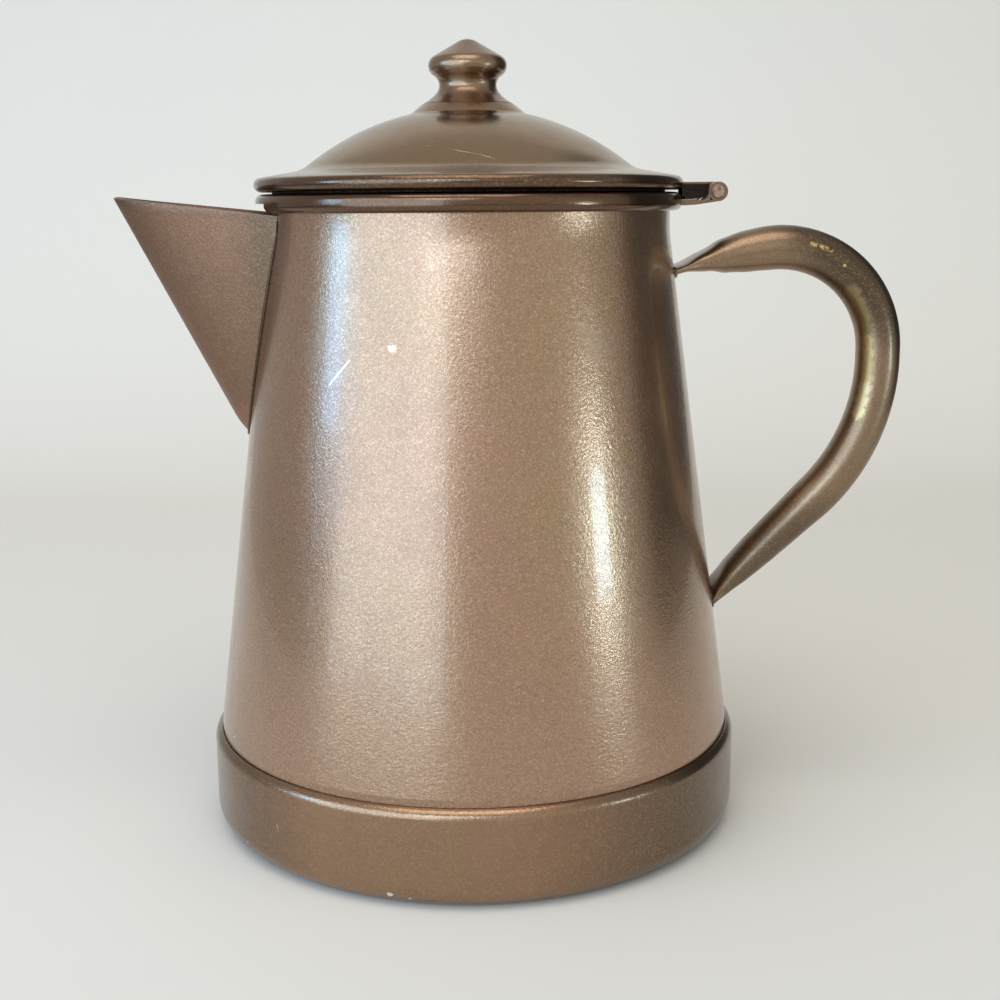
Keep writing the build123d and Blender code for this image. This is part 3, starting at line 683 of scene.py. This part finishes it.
# half the width at which the sheet runs out between its lip and the wall
wide = fold["startWide"]
while spoutTop(wide) - spoutFoot(wide) > fold["runOut"]:
    wide += 0.02
bm = bmesh.new()
grid = []
for i in range(fold["columns"] + 1):
    t = 2 * i / fold["columns"] - 1
    y = wide * math.copysign(abs(t) ** fold["columnEase"], t)
    low, high = spoutFoot(y), spoutTop(y)
    column = []
    for k in range(fold["rows"] + 1):
        z = low + (high - low) * (k / fold["rows"]) ** fold["rowEase"]
        column.append(bm.verts.new(spoutPoint(y, z, low)))
    grid.append(column)
for a, b in zip(grid, grid[1:]):
    for k in range(fold["rows"]):
        bm.faces.new((a[k], b[k], b[k + 1], a[k + 1]))
spoutFold = addPiece("spoutFold", bm, spoutCoat, "kettle", ("spout",))
if spoutFold.data.polygons[len(spoutFold.data.polygons) // 2].normal.x > 0:
    spoutFold.data.flip_normals()
thick = spoutFold.modifiers.new("sheet", "SOLIDIFY")
thick.thickness = fold["sheet"] * mm
thick.offset = -1
edge = spoutFold.modifiers.new("edge", "BEVEL")
edge.width = fold["edgeBevel"] * mm
edge.segments = 2
edge.limit_method = "ANGLE"
edge.angle_limit = math.radians(fold["edgeSharp"])
applyModifiers(spoutFold)
spoutFold.data.set_sharp_from_angle(angle=math.radians(fold["edgeSharp"]))

seam = {"radius": 0.42, "out": 0.1, "columns": 90, "short": 0.2, "wobble": 0.35}
seamPath = []
for i in range(seam["columns"] + 1):
    t = 2 * i / seam["columns"] - 1
    y = (wide - seam["short"]) * t
    z = spoutFoot(y)
    p = spoutPoint(y, z, z)
    outward = Vector((p.x, p.y, 0)).normalized()
    side = Vector((-1.0, 2 * y / fold["curve"], 0)).normalized()
    seamPath.append(p + (outward + side) * seam["out"] * mm)
seamRings = beadRings(seamPath, seam["radius"] * mm, wobble=seam["wobble"])
addPiece("spoutSeam", skinRings(seamRings), brazeCoat, "kettle")
print("kettle: spout folded")


# ---- handle: bent tube, pinched flat at both ends ----

grip = {"radius": 6.1, "topZ": 159.6, "startX": 85.9, "bend": 28.2, "side": 2.7, "palm": 55.0, "fall": 46,
        "pinchThick": 1.25, "pinchWide": 9.4, "drop": 6.0, "sides": 48, "wideEase": 1.9, "squareEase": 1.5,
        "square": 0.9, "hollow": 1.2, "hollowFrom": 0.35, "wallGap": 0.02, "startGap": 0.1,
        "dropPower": 1.5, "easeShare": 0.35, "evenShare": 0.65}
gripReach = grip["startX"] + grip["bend"]
bendZ = grip["topZ"] - grip["bend"]


def squeezeAt(share, knots):
    # how far the tube is pinched, from knots of (share of the run, squeeze)
    for (s0, q0), (s1, q1) in zip(knots, knots[1:]):
        if s1 <= share <= s0:
            t = (s0 - share) / (s0 - s1)
            t = t * t * (3 - 2 * t) * grip["easeShare"] + t * grip["evenShare"]
            return q0 + (q1 - q0) * t
    return knots[-1][1]


upperKnots = [(1, 0), (0.87, 0.015), (0.67, 0.09), (0.47, 0.29), (0.27, 0.62), (0.08, 1), (0, 1)]
lowerKnots = [(1, 0), (0.73, 0.12), (0.5, 0.23), (0.25, 0.41), (0.11, 0.68), (0, 1)]
upperSteps, bendSteps, lowerSteps = 44, 30, 50
stations = []  # centre, direction, squeeze
upperEnd = wallRadius(grip["topZ"] - grip["drop"]) + grip["startGap"]
upperRun = grip["startX"] - upperEnd
for i in range(upperSteps):
    t = 1 - i / upperSteps
    centre = Vector((grip["startX"] - upperRun * t, 0, grip["topZ"] - grip["drop"] * t ** grip["dropPower"]))
    slope = grip["drop"] * grip["dropPower"] * t ** (grip["dropPower"] - 1)
    ahead = Vector((upperRun, 0, slope)).normalized()
    stations.append((centre, ahead, squeezeAt(1 - t, upperKnots)))
for i in range(bendSteps + 1):
    a = math.radians(90 - 90 * i / bendSteps)
    centre = Vector((grip["startX"] + grip["bend"] * math.cos(a), 0, bendZ + grip["bend"] * math.sin(a)))
    stations.append((centre, Vector((math.sin(a), 0, -math.cos(a))), 0.0))
palmX, palmZ = gripReach - grip["palm"], bendZ - grip["side"]
for i in range(bendSteps + 1):
    a = math.radians(-grip["fall"] * i / bendSteps)
    centre = Vector((palmX + grip["palm"] * math.cos(a), 0, palmZ + grip["palm"] * math.sin(a)))
    stations.append((centre, Vector((math.sin(a), 0, -math.cos(a))), 0.0))
fallStart, fallWay = stations[-1][0], stations[-1][1]
fallRun = (fallStart.x - wallRadius(fallStart.z)) / -(fallWay.x + taper * fallWay.z)
for i in range(1, lowerSteps + 1):
    t = i / lowerSteps
    stations.append((fallStart + fallWay * fallRun * t, fallWay, squeezeAt(1 - t, lowerKnots)))

gripRings = []
for centre, ahead, squeeze in stations:
    thick = grip["radius"] + (grip["pinchThick"] - grip["radius"]) * squeeze
    half = grip["radius"] + (grip["pinchWide"] - grip["radius"]) * squeeze ** grip["wideEase"]
    power = 2 / (2 + grip["square"] * squeeze ** grip["squareEase"])
    across = Vector((0, 1, 0))
    up = across.cross(ahead).normalized()
    if up.dot(centre - Vector((palmX, 0, palmZ))) < 0:
        up = -up
    # the flats sink between the two edges
    sink = grip["hollow"] * max(0.0, squeeze - grip["hollowFrom"]) * (1 - squeeze)
    ring = []
    for k in range(grip["sides"]):
        a = 2 * math.pi * k / grip["sides"]
        c, s = math.cos(a), math.sin(a)
        u = math.copysign(abs(c) ** power, c)
        v = math.copysign(abs(s) ** power, s) * (1 - sink * (1 - u * u) ** 2)
        ring.append((centre + across * u * half + up * v * thick) * mm)
    gripRings.append(ring)


def ontoWall(point, way):
    # slides a point along the tube until it meets the wall
    p = point / mm
    for _ in range(30):
        gap = math.hypot(p.x, p.y) - wallRadius(p.z) - grip["wallGap"]
        p = p + way * (gap / max(abs(way.x), 0.3))
    return p * mm


gripRings[0] = [ontoWall(p, -stations[0][1]) for p in gripRings[0]]
gripRings[-1] = [ontoWall(p, stations[-1][1]) for p in gripRings[-1]]
addPiece("handleTube", skinRings(gripRings), handleCoat, "kettle", ("handle",))
# upper and lower: the bead's radius and wobble
weld = {"spread": 0.1, "out": 0.1, "upper": (0.5, 0.9), "lower": (0.35, 0.6)}


def weldPath(ring):
    # a closed path round the tube's end, laid on the wall
    middle = sum(ring, Vector()) / len(ring)
    path = []
    for p in ring + ring[:1]:
        q = p + (p - middle).normalized() * weld["spread"] * mm
        r = wallRadius(q.z / mm) + weld["out"]
        flat = Vector((q.x, q.y, 0)).normalized() * r * mm
        path.append(Vector((flat.x, flat.y, q.z)))
    return path


for name, ring, (radius, wobble) in (("upperWeld", gripRings[0], weld["upper"]),
                                     ("lowerWeld", gripRings[-1], weld["lower"])):
    bead = skinRings(beadRings(weldPath(ring), radius * mm, wobble=wobble))
    addPiece(name, bead, brazeCoat, "kettle")
print("kettle: handle bent")


# ---- lid: boss, dome, brim and rolled edge ----

lid = {"sheet": 0.8, "hole": 2.05, "bossTop": 198.2, "bossR": 12.4, "footR": 15.6, "footZ": 195.6,
       "domeR": 70.22, "edgeR": 43.5, "edgeZ": 182.26, "rollX": 56.1, "rollZ": 177.1, "rollR": 1.9,
       "brim": 10, "rollEnd": -205, "bossBend": 0.8, "bossFootBend": 2.4, "bossTurn": 2.5, "steps": 34}
domeZ = lid["footZ"] - math.sqrt(lid["domeR"] ** 2 - lid["footR"] ** 2)
startAngle = math.degrees(math.atan2(lid["footZ"] - domeZ, lid["footR"]))
endAngle = math.degrees(math.atan2(lid["edgeZ"] - domeZ, lid["edgeR"]))
blendAngle = endAngle - 180
brimSquare = Vector((math.sin(math.radians(lid["brim"])), math.cos(math.radians(lid["brim"]))))
brimEnd = Vector((lid["rollX"], lid["rollZ"])) + brimSquare * lid["rollR"]
outAtEnd = Vector((math.cos(math.radians(endAngle)), math.sin(math.radians(endAngle))))
domeEnd = Vector((0, domeZ)) + outAtEnd * lid["domeR"]
blendR = (brimEnd - domeEnd).dot(brimSquare) / (outAtEnd.dot(brimSquare) - 1)
blendMid = domeEnd + outAtEnd * blendR
lidLine = softLine([(lid["hole"], lid["bossTop"]), (lid["bossR"], lid["bossTop"], lid["bossBend"]),
                    (lid["footR"], lid["footZ"])])
downDome = arcRun(0, domeZ, lid["domeR"], startAngle, startAngle - 2 * lid["bossTurn"], 1)[1]
lidLine = lidLine[:-1] + softCorner((lid["bossR"], lid["bossTop"]), (lid["footR"], lid["footZ"]),
                                    downDome, lid["bossFootBend"])
lidLine += arcRun(0, domeZ, lid["domeR"], startAngle - lid["bossTurn"], endAngle, lid["steps"])
lidLine += arcRun(blendMid.x, blendMid.y, blendR, blendAngle, -90 - lid["brim"], 10)[1:]
lidLine += [tuple(Vector(lidLine[-1]).lerp(brimEnd, t)) for t in (0.33, 0.66)]
lidLine += arcRun(lid["rollX"], lid["rollZ"], lid["rollR"], 90 - lid["brim"], lid["rollEnd"], lid["steps"])
addPiece("lidDome", turnOutline(sheetLine(lidLine, lid["sheet"]), turnSteps, True), lidCoat,
         "lid", ("lid_shell",))

hoop = {"radius": 53.2, "low": 166.5, "sheet": 0.8, "flange": 4.5, "gap": 0.05, "steps": 192}


def underBrim(r, depth):
    # the brim's underside, and further down by a depth
    seat = brimEnd - brimSquare * (lid["sheet"] + hoop["gap"] + depth)
    return (r, seat.y + (seat.x - r) * math.tan(math.radians(lid["brim"])))


hoopIn, flangeIn = hoop["radius"] - hoop["sheet"], hoop["radius"] - hoop["flange"]
hoopLine = [(hoop["radius"], hoop["low"]), underBrim(hoop["radius"], 0), underBrim(flangeIn, 0),
            underBrim(flangeIn, hoop["sheet"]), underBrim(hoopIn, hoop["sheet"]), (hoopIn, hoop["low"])]
# the hoop's near-black finish is painted shade
addPiece("lidHoop", turnOutline(hoopLine, hoop["steps"], True), hoopShadeCoat, "lid", ("lid_collar",))
print("kettle: lid turned")


# ---- knob ----

knob = {"foot": 198.2, "hole": 2.05, "holeDepth": 10.5, "footR": 12.0, "edge": 0.15, "flare": (2.0, 1.1),
        "flareDrop": 1.9, "neckR": 7.7, "neckZ": 203.1, "headR": 10.55, "headZ": 208.2, "shoulderR": 8.8,
        "slope": 30, "tipR": 5.2, "top": 215.1, "footEase": 0.1, "steps": 144, "sharp": 45}
knobFoot = Vector((knob["footR"], knob["foot"] + knob["edge"]))
knobNeck, knobHead = Vector((knob["neckR"], knob["neckZ"])), Vector((knob["headR"], knob["headZ"]))
knobWaist = (knobNeck + knobHead) / 2
tipTurn = math.radians(90 - knob["slope"])
tipOut = Vector((math.cos(tipTurn), math.sin(tipTurn)))
coneTop = Vector((0, knob["top"] - knob["tipR"])) + tipOut * knob["tipR"]
coneFall = Vector((math.cos(math.radians(knob["slope"])), -math.sin(math.radians(knob["slope"]))))
coneFoot = coneTop + coneFall * ((knob["shoulderR"] - coneTop.x) / coneFall.x)
knobLine = [(0, knob["foot"] + knob["holeDepth"]), (knob["hole"], knob["foot"] + knob["holeDepth"]),
            (knob["hole"], knob["foot"]), (knob["footR"] - knob["footEase"], knob["foot"])]
knobLine += bendLine(knobFoot, knobFoot + Vector((-knob["flare"][0], knob["flare"][1])),
                     knobNeck - Vector((0, knob["flareDrop"])), knobNeck, 16)
knobLine += arcFrom(knobNeck, (0, 1), knobWaist, 8)[1:]
knobLine += arcFrom(knobHead, (0, -1), knobWaist, 8)[::-1][1:]
knobLine += arcFrom(knobHead, (0, 1), coneFoot, 10)[1:]
knobLine += arcFrom((0, knob["top"]), (1, 0), coneTop, 8)[::-1]
addPiece("knobTurned", turnOutline(knobLine, knob["steps"], False), knobCoat, "lid", ("knob",),
         sharpAngle=knob["sharp"])
print("kettle: knob turned")


# ---- strap shade plates: two near-black plates beside the rim under the strap, painted shade ----

shadePlates = {"side": 4.75, "sheet": 0.6,
         "corners": ((58.8, 173.7), (58.8, 172.72), (60.5, 172.72), (63.6, 173.4), (63.6, 173.9))}
bm = bmesh.new()
for side in (-1, 1):
    faces = []
    for y in (side * shadePlates["side"], side * (shadePlates["side"] - shadePlates["sheet"])):
        faces.append([bm.verts.new((x * mm, y * mm, z * mm)) for x, z in shadePlates["corners"]])
        bm.faces.new(faces[-1])
    for i in range(len(shadePlates["corners"])):
        j = (i + 1) % len(shadePlates["corners"])
        bm.faces.new((faces[0][i], faces[0][j], faces[1][j], faces[1][i]))
addPiece("strapShadePlates", bm, strapShadeCoat, "lid")

# pieces that stay as the CAD made them get a finish only
for node, finish in (("knob_screw", screwMetal), ("knob_washer", screwMetal), ("hinge_bracket", hingeCoat),
                     ("hinge_strap", strapShadeCoat), ("hinge_pin", pinMetal)):
    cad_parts[node].material_slots[0].material = finish
print("kettle: strap skirt and small parts finished")


# ---- floor, backdrop, lamps and camera ----

studio = {"floorColour": (0.79, 0.765, 0.72), "floorDim": 0.985, "wallY": 0.75, "sweep": 0.3,
          "sweepSteps": 16, "wallTop": 1.2, "halfWidth": 0.46, "front": -0.5, "level": 0.56, "ahead": 0.26,
          "right": 0.47, "left": 0.04, "below": 0.5, "warm": (1.0, 0.97, 0.92), "olive": (0.98, 1.0, 0.88),
          "floorRough": 0.9, "floorShine": 0.2}
floorFinish = bpy.data.materials.new("paleFloor")
floorFinish.use_nodes = True
tree = floorFinish.node_tree
shader = tree.nodes["Principled BSDF"]
place = tree.nodes.new("ShaderNodeTexCoord").outputs["Object"]
tint = rangeNode(tree, noiseNode(tree, place, scale=3.0, detail=2.0), low=0.3, high=0.7)
tree.links.new(mixColour(tree, tint, studio["floorColour"],
                         tuple(c * studio["floorDim"] for c in studio["floorColour"])),
               shader.inputs["Base Color"])
shader.inputs["Roughness"].default_value = studio["floorRough"]
shader.inputs["Specular IOR Level"].default_value = studio["floorShine"]
sweepLine = [(studio["front"], 0.0)]
for i in range(studio["sweepSteps"] + 1):
    a = math.radians(-90 + 90 * i / studio["sweepSteps"])
    sweepLine.append((studio["wallY"] - studio["sweep"] + studio["sweep"] * math.cos(a),
                      studio["sweep"] + studio["sweep"] * math.sin(a)))
sweepLine.append((studio["wallY"], studio["wallTop"]))
bm = bmesh.new()
edges = [[bm.verts.new((side * studio["halfWidth"], y, z)) for y, z in sweepLine] for side in (-1, 1)]
for i in range(len(sweepLine) - 1):
    bm.faces.new((edges[0][i], edges[1][i], edges[1][i + 1], edges[0][i + 1]))
mesh = bpy.data.meshes.new("paleSweep")
bm.to_mesh(mesh)
bm.free()
mesh.shade_smooth()
mesh.materials.append(floorFinish)
paleSweep = bpy.data.objects.new("paleSweep", mesh)
bpy.context.scene.collection.objects.link(paleSweep)

# the room round the stage: lighter in front, darker behind to the right, olive from the right
world = bpy.context.scene.world or bpy.data.worlds.new("world")
bpy.context.scene.world = world
world.use_nodes = True
tree = world.node_tree
background = tree.nodes["Background"]
toward = tree.nodes.new("ShaderNodeTexCoord").outputs["Generated"]


def roomSide(direction, low, high, amount):
    share = vectorNode(tree, "DOT_PRODUCT", toward, direction).outputs["Value"]
    return mathNode(tree, "MULTIPLY", rangeNode(tree, share, low, high), amount)


inFront, behindRight, behindLeft = (0.42, -0.91, 0.0), (0.57, 0.82, 0.0), (-0.82, 0.57, 0.0)
frontRight = (0.82, -0.57, 0.0)
height = tree.nodes.new("ShaderNodeSeparateXYZ")
tree.links.new(toward, height.inputs[0])
lowDown = rangeNode(tree, height.outputs["Z"], low=0.9, high=0.55)
darker = mathNode(tree, "MULTIPLY", roomSide(behindRight, 0.5, 0.68, studio["right"]), lowDown)
level = mathNode(tree, "ADD", studio["level"], roomSide(inFront, 0.55, 0.95, studio["ahead"]))
level = mathNode(tree, "SUBTRACT", level, darker)
level = mathNode(tree, "SUBTRACT", level, roomSide(behindLeft, 0.3, 0.9, studio["left"]))
underFloor = rangeNode(tree, height.outputs["Z"], low=-0.3, high=0.0, toLow=studio["below"], toHigh=1.0)
level = mathNode(tree, "MULTIPLY", level, underFloor)
olive = roomSide(frontRight, 0.75, 0.95, 1.0)
tree.links.new(mixColour(tree, olive, studio["warm"], studio["olive"]), background.inputs["Color"])
tree.links.new(level, background.inputs["Strength"])


def softLamp(name, at, aim, size, watts, colour):
    lamp = bpy.data.lights.new(name, "AREA")
    lamp.shape = "RECTANGLE"
    lamp.size, lamp.size_y = size
    lamp.energy = watts
    lamp.color = colour
    holder = bpy.data.objects.new(name, lamp)
    holder.location = at
    holder.rotation_mode = "QUATERNION"
    holder.rotation_quaternion = (Vector(aim) - Vector(at)).to_track_quat("-Z", "Y")
    bpy.context.scene.collection.objects.link(holder)


softLamp("windowLamp", (-0.64, -0.765, 0.27), (0, 0, 0.12), (1.06, 0.84), 7.2, (0.56, 0.78, 1.0))
softLamp("windowEdgeLamp", (-0.96, -0.28, 0.32), (0, 0, 0.12), (0.2, 0.34), 1.6, (0.24, 0.55, 1.0))
softLamp("transomLamp", (-0.16, -0.98, 0.5), (0.05, 0, 0.12), (0.5, 0.3), 1.3, (0.62, 0.8, 1.0))
softLamp("stripLamp", (0.703, -0.392, 0.08), (0, 0, 0.07), (0.115, 0.095), 0.56, (0.54, 0.82, 1.0))
softLamp("ceilingLamp", (-0.1, -0.55, 1.5), (0, 0.1, 0.05), (1.3, 1.0), 7.8, (1.0, 0.94, 0.85))

# the camera as fitted to the photo, its place in mm
view = {"at": (0.0, -405.61, 171.562), "pitch": 11.478, "roll": -0.402, "yaw": 1.115, "lens": 52.32,
        "sensor": 36, "near": 0.02}
pitch, roll, yaw = (math.radians(view[k]) for k in ("pitch", "roll", "yaw"))
ahead = Vector((math.sin(yaw) * math.cos(pitch), math.cos(yaw) * math.cos(pitch), -math.sin(pitch)))
right = Vector((math.cos(yaw), -math.sin(yaw), 0))
up = right.cross(ahead)
turnedRight = right * math.cos(roll) + up * math.sin(roll)
turnedUp = up * math.cos(roll) - right * math.sin(roll)
cameraData = bpy.data.cameras.new("photoCamera")
cameraData.lens = view["lens"]
cameraData.sensor_width = view["sensor"]
cameraData.clip_start = view["near"]
photoCamera = bpy.data.objects.new("photoCamera", cameraData)
facing = Matrix((turnedRight, turnedUp, -ahead)).transposed().to_4x4()
photoCamera.matrix_world = Matrix.Translation(Vector(view["at"]) * mm) @ facing
bpy.context.scene.collection.objects.link(photoCamera)
bpy.context.scene.camera = photoCamera
bpy.context.scene.view_settings.view_transform = "Standard"
print("kettle: stage, lamps and camera set")
